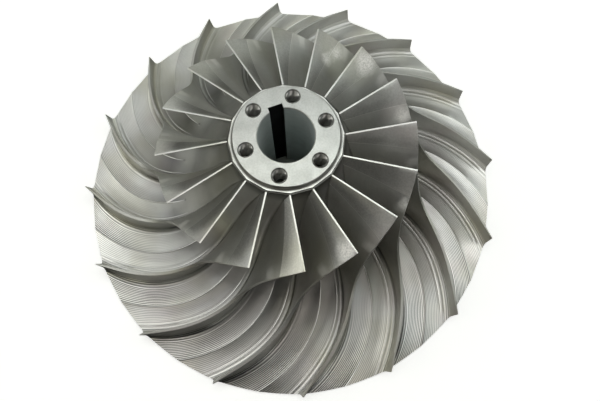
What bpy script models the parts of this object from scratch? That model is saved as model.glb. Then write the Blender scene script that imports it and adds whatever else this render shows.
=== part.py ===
"""Backswept radial compressor wheel, milled in one piece from an aluminium billet.

The wheel stands on its flat back. Its axis is +Z, from the back up to the nose, and the
origin is the middle of the back. Sixteen full blades run from a flat inlet edge round to
the rim. The nose has a raised clamping face, a keyed bore and six tapped holes.
Lengths are metres, and angles are degrees counter-clockwise as seen from the nose.
"""

import math

import bmesh
import bpy
import numpy as np

# Back disc and nose
WHEEL_RADIUS = 0.1675
RIM_THICKNESS = 0.0035
NOSE_HEIGHT = 0.1015
SHOULDER_RADIUS = 0.0381
SHOULDER_DROP = 0.0038
FACE_RADIUS = 0.0355
FACE_CHAMFER = 0.0005

# Bore with its keyway: a 38 mm shaft and a 10 mm key
BORE_RADIUS = 0.019
KEY_WIDTH = 0.010
KEY_REACH = 0.0223
KEY_ANGLE = 111.4

# Six M10 tapped holes, drawn at the size of the tapping drill
BOLT_CIRCLE_RADIUS = 0.0281
BOLT_COUNT = 6
BOLT_ANGLE = 82.8
TAP_RADIUS = 0.00425
TAP_MOUTH_RADIUS = 0.00525
TAP_DEPTH = 0.022
TAP_POINT = 0.0025

# Blade count, and the wrap of each blade at five even steps from inlet to rim
BLADE_COUNT = 16
WRAP_AT_HUB = (95.2, 78.4, 74.0, 65.9, 49.9)
WRAP_AT_TIP = (99.0, 79.2, 69.9, 60.0, 50.2)

# Meridional outlines as (radius, height above the back), drawn as cubic curves
HUB_CURVE = ((0.0396, 0.0964), (0.0590, 0.0075), (0.1364, 0.0128), (WHEEL_RADIUS, RIM_THICKNESS))
TIP_CURVE = ((0.0875, 0.0956), (0.0964, 0.0298), (0.1278, 0.0378), (WHEEL_RADIUS, 0.0206))
# How far the tip lags the hub, so that the ruling lines stand square to the flow
RULING_LAG = 0.14

# Blade thickness and root fillet: at the inlet edge, and further in
TIP_THICKNESS = (0.0011, 0.0022)
ROOT_THICKNESS = (0.0018, 0.0038)
ROOT_FILLET = (0.0012, 0.0032)
THICKNESS_RISE = 0.30

# Facets
STATIONS = 13
ARC_STEPS = 4
FILLET_STEPS = 2
SIDE_STEPS = 2
BORE_SEGMENTS = 64
TAP_SEGMENTS = 16

ALUMINIUM = (0.62, 0.62, 0.59, 1.0)
OVERCUT = 0.002


def clear_scene():
    for item in list(bpy.data.objects):
        bpy.data.objects.remove(item, do_unlink=True)


def make_material(name, colour, metallic, roughness):
    material = bpy.data.materials.new(name)
    material.use_nodes = True
    shader = material.node_tree.nodes["Principled BSDF"]
    shader.inputs["Base Color"].default_value = colour
    shader.inputs["Metallic"].default_value = metallic
    shader.inputs["Roughness"].default_value = roughness
    return material


def cubic(curve, at):
    """Points of a cubic Bezier curve at the parameters in at."""
    start, pull_out, pull_in, end = (np.array(point) for point in curve)
    at = np.asarray(at)[:, None]
    rest = 1 - at
    return (
        rest**3 * start
        + 3 * rest**2 * at * pull_out
        + 3 * rest * at**2 * pull_in
        + at**3 * end
    )


def along(curve, steps):
    """Points of the curve at fractions of its length."""
    fine = np.linspace(0, 1, 400)
    points = cubic(curve, fine)
    length = np.concatenate([[0], np.cumsum(np.linalg.norm(np.diff(points, axis=0), axis=1))])
    return cubic(curve, np.interp(np.asarray(steps) * length[-1], length, fine))


def wrap(angles, steps):
    """The blade's angle in radians at each step: a smooth law through five even stations."""
    law = np.polyfit(np.linspace(0, 1, len(angles)), np.radians(angles), len(angles) - 1)
    return np.polyval(law, steps)


def grow(limits, steps):
    """A size that grows from its inlet value to its full value over THICKNESS_RISE."""
    rise = np.clip(np.asarray(steps) / THICKNESS_RISE, 0, 1)
    return limits[0] + (limits[1] - limits[0]) * np.sin(rise * math.pi / 2)


def blade_frame(steps):
    """Hub point, tip point and sideways stretch of the blade's middle surface at each step."""
    lagged = steps - RULING_LAG * np.sin(math.pi * steps)
    edges = []
    for curve, angles, place in ((HUB_CURVE, WRAP_AT_HUB, steps), (TIP_CURVE, WRAP_AT_TIP, lagged)):
        outline = along(curve, place)
        turn = wrap(angles, place)
        edges.append(
            np.stack([outline[:, 0] * np.cos(turn), outline[:, 0] * np.sin(turn), outline[:, 1]], 1)
        )
    return edges


def sideways_stretch(hub, tip, steps):
    """Thickness measured round the wheel over thickness measured square to the blade."""
    flow = np.gradient((hub + tip) / 2, steps, axis=0)
    normal = np.cross(flow, tip - hub)
    normal /= np.linalg.norm(normal, axis=1)[:, None]
    middle = (hub + tip) / 2
    around = np.stack([-middle[:, 1], middle[:, 0], np.zeros(len(middle))], 1)
    around /= np.linalg.norm(around, axis=1)[:, None]
    return 1 / np.abs((normal * around).sum(1))


def blade_side(height, root_half, tip_half, fillet):
    """(distance up the blade, distance from its middle) from the fillet's foot to the tip."""
    profile = []
    for step in range(FILLET_STEPS):
        bend = step / FILLET_STEPS
        profile.append((fillet * bend**2, root_half + fillet * (1 - bend) ** 2))
    for step in range(SIDE_STEPS + 1):
        part = step / SIDE_STEPS
        up = fillet + (height - fillet) * part
        profile.append((up, root_half + (tip_half - root_half) * up / height))
    return profile


def turned(point, distance):
    """The point moved round the wheel's axis by a distance."""
    angle = distance / math.hypot(point[0], point[1])
    cosine = math.cos(angle)
    sine = math.sin(angle)
    return (point[0] * cosine - point[1] * sine, point[0] * sine + point[1] * cosine, point[2])


def station_sides(hub, tip, stretch, step):
    """The two sides of one blade at one station, each from foot to tip."""
    root_half = grow(ROOT_THICKNESS, step) / 2
    tip_half = grow(TIP_THICKNESS, step) / 2
    height = np.linalg.norm(tip - hub)
    sides = ([], [])
    for up, off in blade_side(height, root_half, tip_half, grow(ROOT_FILLET, step)):
        middle = hub + (tip - hub) * up / height
        sides[0].append(turned(middle, -off * stretch))
        sides[1].append(turned(middle, off * stretch))
    return sides


def spun(point, angle):
    return (
        point[0] * math.cos(angle) - point[1] * math.sin(angle),
        point[0] * math.sin(angle) + point[1] * math.cos(angle),
        point[2],
    )


def hub_arc(start, end):
    """Points between two feet along the hub's circle, without its ends."""
    first = math.atan2(start[1], start[0])
    sweep = (math.atan2(end[1], end[0]) - first) % (2 * math.pi)
    radius = math.hypot(start[0], start[1])
    angles = [first + sweep * step / ARC_STEPS for step in range(1, ARC_STEPS)]
    return [(radius * math.cos(turn), radius * math.sin(turn), start[2]) for turn in angles]


def flow_skin(mesh):
    """Hub surface and blades as one open skin. Returns its inlet and rim loops of hub points."""
    steps = np.linspace(0, 1, STATIONS)
    hub, tip = blade_frame(steps)
    stretch = sideways_stretch(hub, tip, steps)
    pitch = 2 * math.pi / BLADE_COUNT
    rows = []
    for index, step in enumerate(steps):
        sides = station_sides(hub[index], tip[index], stretch[index], step)
        blade = sides[0] + sides[1][::-1]
        floor = hub_arc(sides[1][0], spun(sides[0][0], pitch))
        section = blade + floor
        rows.append([
            mesh.verts.new(spun(point, number * pitch))
            for number in range(BLADE_COUNT)
            for point in section
        ])
    for upper, lower in zip(rows, rows[1:]):
        for column in range(len(upper)):
            following = (column + 1) % len(upper)
            mesh.faces.new((upper[column], lower[column], lower[following], upper[following]))
    side_points = FILLET_STEPS + SIDE_STEPS + 1
    close_blade_ends(mesh, rows[0], side_points, False)
    close_blade_ends(mesh, rows[-1], side_points, True)
    return [hub_loop(row, side_points) for row in (rows[0], rows[-1])]


def close_blade_ends(mesh, row, side_points, outward):
    """Faces across each blade's edge, from its feet to its tip."""
    section = len(row) // BLADE_COUNT
    for number in range(BLADE_COUNT):
        blade = row[number * section:number * section + 2 * side_points]
        for up in range(side_points - 1):
            corners = (blade[up], blade[-1 - up], blade[-2 - up], blade[up + 1])
            mesh.faces.new(corners if outward else corners[::-1])


def hub_loop(row, side_points):
    """The points of a row that lie on the hub's circle, in order round the wheel."""
    section = len(row) // BLADE_COUNT
    loop = []
    for number in range(BLADE_COUNT):
        start = number * section
        loop.append(row[start])
        loop.extend(row[start + 2 * side_points - 1:start + section])
    return loop


def ring_like(mesh, loop, radius, height):
    """A ring with the angles of the loop, at another radius and height."""
    ring = []
    for vert in loop:
        turn = math.atan2(vert.co.y, vert.co.x)
        ring.append(mesh.verts.new((radius * math.cos(turn), radius * math.sin(turn), height)))
    return ring


def join_rings(mesh, upper, lower):
    for column in range(len(upper)):
        following = (column + 1) % len(upper)
        mesh.faces.new((upper[column], lower[column], lower[following], upper[following]))


def close_nose(mesh, inlet_loop):
    """Shoulder, step and raised face above the blades."""
    shoulder_height = NOSE_HEIGHT - SHOULDER_DROP
    outline = (
        (SHOULDER_RADIUS, shoulder_height),
        (FACE_RADIUS, shoulder_height),
        (FACE_RADIUS, NOSE_HEIGHT - FACE_CHAMFER),
        (FACE_RADIUS - FACE_CHAMFER, NOSE_HEIGHT),
    )
    lower = inlet_loop
    for radius, height in outline:
        upper = ring_like(mesh, inlet_loop, radius, height)
        join_rings(mesh, upper, lower)
        lower = upper
    mesh.faces.new(lower)


def close_back(mesh, rim_loop):
    """Rim edge and flat back."""
    lower = ring_like(mesh, rim_loop, WHEEL_RADIUS, 0)
    join_rings(mesh, rim_loop, lower)
    mesh.faces.new(lower[::-1])


def add_object(name, mesh, material):
    data = bpy.data.meshes.new(name)
    mesh.to_mesh(data)
    mesh.free()
    data.materials.append(material)
    data.shade_smooth()
    data.set_sharp_from_angle(angle=math.radians(30))
    item = bpy.data.objects.new(name, data)
    bpy.context.scene.collection.objects.link(item)
    return item


def turned_cutter(name, outline, segments, place):
    """A solid turned about a vertical line at place, from an outline of (radius, height)."""
    mesh = bmesh.new()
    rings = []
    for radius, height in outline:
        turns = [2 * math.pi * (step + 0.5) / segments for step in range(segments)]
        rings.append([
            mesh.verts.new((place[0] + radius * math.cos(turn), place[1] + radius * math.sin(turn), height))
            for turn in turns
        ])
    for upper, lower in zip(rings, rings[1:]):
        join_rings(mesh, upper, lower)
    mesh.faces.new(rings[0])
    mesh.faces.new(rings[-1][::-1])
    return cutter_object(name, mesh)


def cutter_object(name, mesh):
    bmesh.ops.recalc_face_normals(mesh, faces=mesh.faces)
    data = bpy.data.meshes.new(name)
    mesh.to_mesh(data)
    mesh.free()
    item = bpy.data.objects.new(name, data)
    item.hide_render = True
    item.display_type = "WIRE"
    bpy.context.scene.collection.objects.link(item)
    return item


def bore_cutter():
    outline = ((BORE_RADIUS, NOSE_HEIGHT + OVERCUT), (BORE_RADIUS, -OVERCUT))
    return turned_cutter("bore_cutter", outline, BORE_SEGMENTS, (0, 0))


def keyway_cutter():
    """A bar from inside the bore out to the keyway's floor, through the whole hub."""
    mesh = bmesh.new()
    bmesh.ops.create_cube(mesh, size=1)
    length = KEY_REACH - BORE_RADIUS / 2
    height = NOSE_HEIGHT + 4 * OVERCUT
    bmesh.ops.scale(mesh, vec=(length, KEY_WIDTH, height), verts=mesh.verts)
    bmesh.ops.translate(mesh, vec=((KEY_REACH + BORE_RADIUS / 2) / 2, 0, NOSE_HEIGHT / 2), verts=mesh.verts)
    cutter = cutter_object("keyway_cutter", mesh)
    cutter.rotation_euler.z = math.radians(KEY_ANGLE)
    return cutter


def tapped_hole_cutter(number):
    turn = math.radians(BOLT_ANGLE - number * 360 / BOLT_COUNT)
    place = (BOLT_CIRCLE_RADIUS * math.cos(turn), BOLT_CIRCLE_RADIUS * math.sin(turn))
    chamfer = TAP_MOUTH_RADIUS - TAP_RADIUS
    outline = (
        (TAP_MOUTH_RADIUS + OVERCUT, NOSE_HEIGHT + OVERCUT),
        (TAP_RADIUS, NOSE_HEIGHT - chamfer),
        (TAP_RADIUS, NOSE_HEIGHT - TAP_DEPTH),
        (TAP_RADIUS / 5, NOSE_HEIGHT - TAP_DEPTH - TAP_POINT),
    )
    return turned_cutter(f"tapped_hole_cutter_{number + 1}", outline, TAP_SEGMENTS, place)


def cut(item, cutter):
    boolean = item.modifiers.new(cutter.name, "BOOLEAN")
    boolean.operation = "DIFFERENCE"
    boolean.solver = "EXACT"
    boolean.object = cutter


def make_wheel():
    mesh = bmesh.new()
    inlet_loop, rim_loop = flow_skin(mesh)
    close_nose(mesh, inlet_loop)
    close_back(mesh, rim_loop)
    wheel = add_object("impeller_wheel", mesh, make_material("aluminium", ALUMINIUM, 1.0, 0.32))
    cut(wheel, bore_cutter())
    cut(wheel, keyway_cutter())
    for number in range(BOLT_COUNT):
        cut(wheel, tapped_hole_cutter(number))
    return wheel


clear_scene()
make_wheel()
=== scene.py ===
# %% [markdown]
# # A milled compressor wheel
# The object is the bladed wheel of a radial compressor or blower: a flared hub on a round
# disc, sixteen full blades that sweep back, a clamping nose with six tapped holes and a
# bore with a keyway. The real one is cut from a single billet of aluminium on a five-axis
# mill, so nothing on it is bolted or welded.
#
# The solid model is loaded first and stays as it is. What is made here stands in front of
# it: the same wheel with its fillets, cutter marks, threads and turned faces.

# %% Load the solid model
import math

import bpy
import numpy as np
from mathutils import Matrix, Vector


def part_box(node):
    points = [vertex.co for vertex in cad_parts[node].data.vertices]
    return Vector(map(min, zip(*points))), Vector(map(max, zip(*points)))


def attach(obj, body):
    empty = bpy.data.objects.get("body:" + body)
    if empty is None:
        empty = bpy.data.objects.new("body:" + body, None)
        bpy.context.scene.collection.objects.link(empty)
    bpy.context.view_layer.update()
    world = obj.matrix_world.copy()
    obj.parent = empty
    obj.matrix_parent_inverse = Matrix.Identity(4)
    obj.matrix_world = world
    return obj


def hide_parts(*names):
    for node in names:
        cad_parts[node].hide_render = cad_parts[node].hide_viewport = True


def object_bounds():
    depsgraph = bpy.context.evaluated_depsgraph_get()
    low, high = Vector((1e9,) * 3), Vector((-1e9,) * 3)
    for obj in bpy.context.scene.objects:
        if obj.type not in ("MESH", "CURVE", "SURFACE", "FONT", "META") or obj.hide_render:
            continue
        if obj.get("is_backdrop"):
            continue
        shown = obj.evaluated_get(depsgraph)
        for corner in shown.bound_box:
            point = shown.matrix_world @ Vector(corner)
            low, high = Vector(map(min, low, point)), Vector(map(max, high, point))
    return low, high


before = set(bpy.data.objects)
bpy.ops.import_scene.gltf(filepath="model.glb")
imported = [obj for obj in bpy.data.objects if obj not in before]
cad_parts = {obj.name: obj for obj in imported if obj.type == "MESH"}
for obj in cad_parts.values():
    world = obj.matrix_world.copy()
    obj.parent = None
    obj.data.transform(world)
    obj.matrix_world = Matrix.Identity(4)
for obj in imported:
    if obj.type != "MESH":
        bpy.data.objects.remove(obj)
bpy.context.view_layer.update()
low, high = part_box("impeller_wheel")


def say_box(what, box):
    low_end, high_end = (tuple(round(v, 4) for v in corner) for corner in box)
    print(what, "from", low_end, "to", high_end)


say_box("solid model", (low, high))

# %% [markdown]
# ## Sizes of the wheel
# A flow surface is drawn from two outlines seen from the side, one along the hub and one
# along the blade tips. Each outline is a cubic curve, given by its two ends and two pull
# points. How far a blade has turned round the axis at five even steps gives its sweep.
# All lengths are metres, and angles run counter-clockwise as seen from the nose.

# %% Driving sizes
WHEEL_RADIUS = high.x
NOSE_TOP = high.z
RIM_THICKNESS = 0.0035
SHOULDER_DROP = 0.0038
FACE_RADIUS = 0.0355
BORE_RADIUS = 0.019
KEY_WIDTH = 0.010
KEY_REACH = 0.0223
KEY_ANGLE = math.radians(111.4)
BOLT_CIRCLE_RADIUS = 0.0281
BOLT_COUNT = 6
BOLT_ANGLE = math.radians(82.8)

BLADE_COUNT = 16
PITCH = 2 * math.pi / BLADE_COUNT
WRAP_AT_HUB = (95.2, 78.4, 74.0, 65.9, 49.9)
WRAP_AT_TIP = (99.0, 79.2, 69.9, 60.0, 50.2)
HUB_CURVE = ((0.0396, 0.0964), (0.0590, 0.0075), (0.1364, 0.0128), (WHEEL_RADIUS, RIM_THICKNESS))
TIP_CURVE = ((0.0875, 0.0956), (0.0964, 0.0298), (0.1278, 0.0378), (WHEEL_RADIUS, 0.0206))
RULING_LAG = 0.14
TIP_THICKNESS = (0.0011, 0.0022)
ROOT_THICKNESS = (0.0018, 0.0038)
ROOT_FILLET = (0.0005, 0.0032)
EXIT_FILLET_GAIN = 0.0018
EXIT_FILLET_START = 0.40
EXIT_FILLET_RUN = 0.45
THICKNESS_RISE = 0.30
EXIT_TAPER_START = 0.84
EXIT_TAPER_POWER = 1.4
EXIT_TAPER = (0.30, 0.72)
EDGE_THICKNESS = 0.00085
FACET_LINE = (0.030, 0.085, 0.040)

# %% [markdown]
# ## The laws behind the flow surface
# A blade here is a ruled surface: a straight line runs from the hub curve to the tip curve
# at every step along the passage, which is what the side of a long end mill leaves. These
# few functions give the hub point, the tip point, the thickness and the fillet at any step
# from 0 at the inlet edge to 1 at the rim. Working from laws keeps the visible wheel and
# the solid model alike, since both follow the same numbers.

# %% Curves and thickness laws
CURVE_POINTS = 400


def cubic(curve, at):
    """Points of a cubic Bezier curve at the parameters in at."""
    start, pull_out, pull_in, end = (np.array(point) for point in curve)
    at = np.asarray(at)[:, None]
    rest = 1 - at
    return rest**3 * start + 3 * rest**2 * at * pull_out + 3 * rest * at**2 * pull_in + at**3 * end


def along(curve, steps):
    """Points of the curve at fractions of its length."""
    fine = np.linspace(0, 1, CURVE_POINTS)
    points = cubic(curve, fine)
    length = np.concatenate([[0], np.cumsum(np.linalg.norm(np.diff(points, axis=0), axis=1))])
    return cubic(curve, np.interp(np.asarray(steps) * length[-1], length, fine))


def wrap(angles, steps):
    """The blade's angle in radians at each step: a smooth law through five even stations."""
    law = np.polyfit(np.linspace(0, 1, len(angles)), np.radians(angles), len(angles) - 1)
    return np.polyval(law, steps)


def grow(limits, steps):
    """A size that grows from its inlet value to its full value over THICKNESS_RISE."""
    rise = np.clip(np.asarray(steps) / THICKNESS_RISE, 0, 1)
    return limits[0] + (limits[1] - limits[0]) * np.sin(rise * math.pi / 2)


def exit_taper(amount, steps):
    """The share of a blade's thickness that is left where it thins towards its exit edge."""
    past = np.clip((np.asarray(steps) - EXIT_TAPER_START) / (1 - EXIT_TAPER_START), 0, 1)
    return 1 - amount * past**EXIT_TAPER_POWER


def ridge_step(share):
    """The step at which the facet beside the inlet edge ends, at a share of the blade's height."""
    return FACET_LINE[0] + FACET_LINE[1] * share + FACET_LINE[2] * share**2


def relieved(half, share, steps):
    """Half the blade's thickness, thinned evenly from the ridge to the inlet edge."""
    edge_half = EDGE_THICKNESS / 2
    return edge_half + (half - edge_half) * np.clip(steps / ridge_step(share), 0, 1)


def on_circle(radius, turn, height):
    return np.stack([radius * np.cos(turn), radius * np.sin(turn), height], -1)


class Blade:
    """The middle surface of blade 0 and its sizes, at a list of steps from inlet to rim."""

    def __init__(self, steps):
        self.steps = steps
        lagged = steps - RULING_LAG * np.sin(math.pi * steps)
        hub, tip = along(HUB_CURVE, steps), along(TIP_CURVE, lagged)
        self.hub = on_circle(hub[:, 0], wrap(WRAP_AT_HUB, steps), hub[:, 1])
        self.tip = on_circle(tip[:, 0], wrap(WRAP_AT_TIP, lagged), tip[:, 1])
        self.height = np.linalg.norm(self.tip - self.hub, axis=1)
        self.root_half = grow(ROOT_THICKNESS, steps) / 2 * exit_taper(EXIT_TAPER[0], steps)
        self.tip_half = grow(TIP_THICKNESS, steps) / 2 * exit_taper(EXIT_TAPER[1], steps)
        late = np.clip((steps - EXIT_FILLET_START) / EXIT_FILLET_RUN, 0, 1)
        self.fillet = grow(ROOT_FILLET, steps) + EXIT_FILLET_GAIN * late
        self.stretch = self.sideways_stretch(steps)

    def sideways_stretch(self, steps):
        """Thickness measured round the wheel over thickness measured square to the blade."""
        middle = (self.hub + self.tip) / 2
        flow = np.gradient(middle, steps, axis=0)
        normal = np.cross(flow, self.tip - self.hub)
        around = np.stack([-middle[:, 1], middle[:, 0], np.zeros(len(middle))], 1)
        lengths = np.linalg.norm(normal, axis=1) * np.linalg.norm(around, axis=1)
        return lengths / np.abs((normal * around).sum(1))

    def point(self, row, up, off):
        """A point of one row, at a height up the blade and a distance off its middle."""
        middle = self.hub[row] + (self.tip[row] - self.hub[row]) * up / self.height[row]
        radius = math.hypot(middle[0], middle[1])
        turn = math.atan2(middle[1], middle[0]) + off * self.stretch[row] / radius
        return radius * math.cos(turn), radius * math.sin(turn), middle[2]

    def half(self, row, up):
        """Half the blade's thickness at a height."""
        share = up / self.height[row]
        full = self.root_half[row] + (self.tip_half[row] - self.root_half[row]) * share
        return relieved(full, share, self.steps[row])


# %% [markdown]
# ## Working by hand in code
# Blender's operators act on whatever is selected, just as they do for a person at the
# screen. Two habits keep that safe in a script: clear the selection before each new
# primitive, and pick faces and edges by where they lie. A grid primitive with its points
# moved by a law is used for the swept surfaces, because no bend or twist tool follows a
# blade's real law.

# %% Helpers for modelling
def deselect_all():
    if bpy.context.mode != "OBJECT":
        bpy.ops.object.mode_set(mode="OBJECT")
    for item in bpy.context.selected_objects:
        item.select_set(False)


def take(piece):
    """Makes piece the only selected and the active object."""
    deselect_all()
    piece.select_set(True)
    bpy.context.view_layer.objects.active = piece


def named(name):
    piece = bpy.context.active_object
    piece.name = name
    piece.data.name = name
    return piece


def shaped_grid(name, points, flow_map):
    """A grid primitive whose points are moved to the given places, in rows of columns.

    flow_map gives each point's place across and along the passage, and becomes the UV map.
    """
    deselect_all()
    rows, columns = points.shape[:2]
    bpy.ops.mesh.primitive_grid_add(x_subdivisions=columns - 1, y_subdivisions=rows - 1, size=1)
    piece = named(name)
    piece.data.vertices.foreach_set("co", points.astype(np.float32).ravel())
    corners = np.empty(len(piece.data.loops), np.int32)
    piece.data.loops.foreach_get("vertex_index", corners)
    places = flow_map.astype(np.float32).reshape(-1, 2)[corners]
    piece.data.uv_layers.active.data.foreach_set("uv", places.ravel())
    piece.data.uv_layers.active.name = "flow"
    piece.data.update()
    return piece


def twin(piece, name):
    """A copy of a piece, with its own mesh."""
    other = bpy.data.objects.new(name, piece.data.copy())
    bpy.context.scene.collection.objects.link(other)
    return other


def copy_round(piece, count):
    """Copies a piece round the axis."""
    copies = [piece]
    for number in range(1, count):
        other = twin(piece, f"{piece.name}_{number + 1:02d}")
        other.data.transform(Matrix.Rotation(2 * math.pi * number / count, 4, "Z"))
        copies.append(other)
    return copies


def clean(piece, merge=1e-6, fill=False):
    """Merges doubled points, fills open ends if asked to, and turns all faces outwards."""
    take(piece)
    bpy.ops.object.mode_set(mode="EDIT")
    bpy.ops.mesh.select_all(action="SELECT")
    bpy.ops.mesh.remove_doubles(threshold=merge)
    if fill:
        bpy.ops.mesh.select_mode(type="EDGE")
        bpy.ops.mesh.select_all(action="DESELECT")
        bpy.ops.mesh.select_non_manifold(extend=False, use_wire=False, use_multi_face=False, use_verts=False)
        bpy.ops.mesh.fill_holes(sides=0)
        bpy.ops.mesh.select_all(action="SELECT")
    bpy.ops.mesh.normals_make_consistent(inside=False)
    bpy.ops.object.mode_set(mode="OBJECT")
    return piece


def smooth(piece, degrees=30):
    take(piece)
    bpy.ops.object.shade_smooth_by_angle(angle=math.radians(degrees))
    return piece


def triangles(piece):
    return sum(len(face.vertices) - 2 for face in piece.data.polygons)


# %% [markdown]
# ## The passage floors
# Between two blades the hub is a smooth trough. A ball-nosed cutter leaves fine furrows
# along it, a round fillet at each blade's foot, and one higher cusp down the middle, where
# the passes from the two sides meet. The furrows give the disc its silky streaks, so they
# are real here: six columns of points to each furrow, half as deep on one half and deepest
# at the rim. The first and last columns lie hidden inside the blades, and four more close
# the floor underneath.
#
# At its inlet end the floor sinks and is dished. Three rows of points ahead of it form the
# nose's lip, whose outer edge runs straight from blade to blade, and the short wall under
# the lip. One floor is made and copied round the axis.

# %% One passage floor
FLOOR_ROWS = 64
FILLET_COLUMNS = 8
FURROWS = 22
COLUMNS_PER_FURROW = 6
FAR_HALF_DEPTH = 0.5
CUTTER_RADIUS = 0.0042
FURROWS_START = 0.60
FURROWS_RUN = 0.35
FURROWS_LEAST = 0.03
CUSP_HEIGHT = 0.00020
CUSP_WIDTH = 0.0005
CUSP_START = 0.50
CUSP_RUN = 0.10
HALF_DISH = 0.0006
FOOT_CUSPS = (0.00004, 0.00012)
FOOT_GROOVE = 0.00010
FOOT_GROOVE_PLACE = 0.0016
FOOT_GROOVE_WIDTH = 0.0012
HIDDEN_FOOT = 0.5
FOOT_FLOW = -0.2
UNDER_COLUMNS = 4
PIT_DEPTH = 0.00035
PIT_RADIUS = 0.0006
PIT_ROWS = (-2.4, -1.2, -0.4, 0.0, 0.4, 1.2, 2.4)
INLET_DISH = 0.0006
INLET_SINK = 0.0006
INLET_DISH_END = 0.18
FLOOR_DEPTH = 0.0013
LIP_HEIGHT = NOSE_TOP - SHOULDER_DROP
LIP_CORNER_RADIUS = 0.0383
LIP_SEAM_RADIUS = 0.0374
LIP_OVERLAP = 0.00005
LIP_SINK = 0.000002
LIP_WALL_REACH = 0.22
LIP_WALL_DROP = 0.85
LIP_UNDERSIDES = (0.0010, 0.0011, 0.0010)
HUB_POINTS = 300
FLOW_SMOOTHING = 25
FINE_MERGE = 1e-7


def inlet_dip(step):
    """A share that falls from 1 at the inlet to 0, by which the floor is dished and sunk."""
    return np.clip(1 - step / INLET_DISH_END, 0, 1) ** 2


def floor_relief(share, step, width):
    """Height of the cutter's marks over the smooth floor, square to it.

    share runs from 0 to 1 across the floor, and width is the floor's width there.
    """
    furrow = width / FURROWS
    inside = 2 * np.mod(share * FURROWS, 1) - 1
    depth = furrow**2 / (8 * CUTTER_RADIUS)
    depth = depth * min(max((step - FURROWS_START) / FURROWS_RUN, FURROWS_LEAST), 1)
    furrows = -depth * (1 - inside**2) * np.where(share < 0.5, 1, FAR_HALF_DEPTH)
    outer = np.clip((step - CUSP_START) / CUSP_RUN, 0, 1)
    from_middle = np.abs(share - 0.5) * width
    cusp = CUSP_HEIGHT * np.exp(-from_middle / CUSP_WIDTH)
    dish = -HALF_DISH * np.abs(np.sin(share * 2 * math.pi))
    from_groove = np.abs((1 - share) * width - FOOT_GROOVE_PLACE)
    groove = -FOOT_GROOVE * np.clip(1 - from_groove / FOOT_GROOVE_WIDTH, 0, 1)
    from_start = (step - CUSP_START) * hub_length
    pit = -PIT_DEPTH * np.exp(-(from_middle**2 + from_start**2) / PIT_RADIUS**2)
    inlet = (INLET_SINK + INLET_DISH * 4 * share * (1 - share)) * inlet_dip(step)
    lift = furrows + outer * (cusp + dish + groove) + pit - inlet
    lift[0] += FOOT_CUSPS[0] * outer
    lift[-1] += FOOT_CUSPS[1] * outer
    return lift


def turned_by(points, angle):
    """Points turned about the wheel's axis."""
    points = np.asarray(points)
    cosine, sine = math.cos(angle), math.sin(angle)
    x, y = points[..., 0], points[..., 1]
    return np.stack([x * cosine - y * sine, x * sine + y * cosine, points[..., 2]], -1)


def passage_rows(steps):
    """Points and flow map of one passage floor, as a closed ring of columns at each step."""
    blade = Blade(steps)
    outline = along(HUB_CURVE, steps)
    slope = np.gradient(outline, steps, axis=0)
    slope /= np.linalg.norm(slope, axis=1)[:, None]
    share = np.linspace(0, 1, FURROWS * COLUMNS_PER_FURROW + 1)[1:-1]
    points, flow = [], []
    for row, step in enumerate(steps):
        fillet, sink = blade.fillet[row], INLET_SINK * inlet_dip(step)
        foot = [(0.0, HIDDEN_FOOT * fillet - sink)]
        for bend in np.linspace(0, 1, FILLET_COLUMNS + 1):
            up = fillet * (1 - bend) ** 2
            foot.append((blade.half(row, up) + fillet * bend**2, up - sink))
        first = np.array([blade.point(row, up, off) for off, up in foot])
        last = turned_by([blade.point(row, up, -off) for off, up in foot[::-1]], PITCH)
        start = math.atan2(first[-1, 1], first[-1, 0])
        sweep = (math.atan2(last[0, 1], last[0, 0]) - start) % (2 * math.pi)
        width = sweep * outline[row, 0] / blade.stretch[row]
        lift = floor_relief(share, step, width)
        radius = outline[row, 0] - slope[row, 1] * lift
        height = outline[row, 1] + slope[row, 0] * lift
        floor = on_circle(radius, start + sweep * share, height)
        under = np.linspace(1, 0, UNDER_COLUMNS)
        depth = FLOOR_DEPTH + (INLET_SINK + INLET_DISH) * inlet_dip(step)
        low_radius = outline[row, 0] + slope[row, 1] * depth
        low_height = outline[row, 1] - slope[row, 0] * depth
        level = np.full(UNDER_COLUMNS, low_height)
        below = on_circle(np.full(UNDER_COLUMNS, low_radius), start + sweep * under, level)
        points.append(np.concatenate([first, floor, last, below, first[:1]]))
        side = np.linspace(FOOT_FLOW, 0, len(first))
        across = np.concatenate([side, share, 1 - side[::-1], under, side[:1]])
        flow.append(np.stack([across, np.full(len(across), step)], 1))
    return np.array(points), np.array(flow)


def lip_rows(inlet, middle):
    """Three rows ahead of the inlet row, which lead from the nose's lip down into the passage.

    The lip's outer edge is straight from blade to blade. middle is the passage's middle angle.
    """
    turn = np.arctan2(inlet[:, 1], inlet[:, 0])
    away = np.mod(turn - middle + math.pi, 2 * math.pi) - math.pi
    edge = LIP_CORNER_RADIUS * math.cos(PITCH / 2) / np.cos(away)
    reach = np.hypot(inlet[:, 0], inlet[:, 1])
    top = np.full(len(inlet), LIP_HEIGHT - LIP_SINK)
    seam = on_circle(np.full(len(inlet), LIP_SEAM_RADIUS - LIP_OVERLAP), turn, top)
    brink = on_circle(edge, turn, top)
    wall_height = top + LIP_WALL_DROP * (inlet[:, 2] - top)
    wall = on_circle(edge + LIP_WALL_REACH * (reach - edge), turn, wall_height)
    below = slice(-UNDER_COLUMNS - 1, -1)
    seam_reach = np.full(UNDER_COLUMNS, LIP_SEAM_RADIUS)
    for row, drop in zip((seam, brink, wall), LIP_UNDERSIDES):
        row[below] = on_circle(seam_reach, turn[below], np.full(UNDER_COLUMNS, LIP_HEIGHT - drop))
    return np.array([seam, brink, wall])


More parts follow.
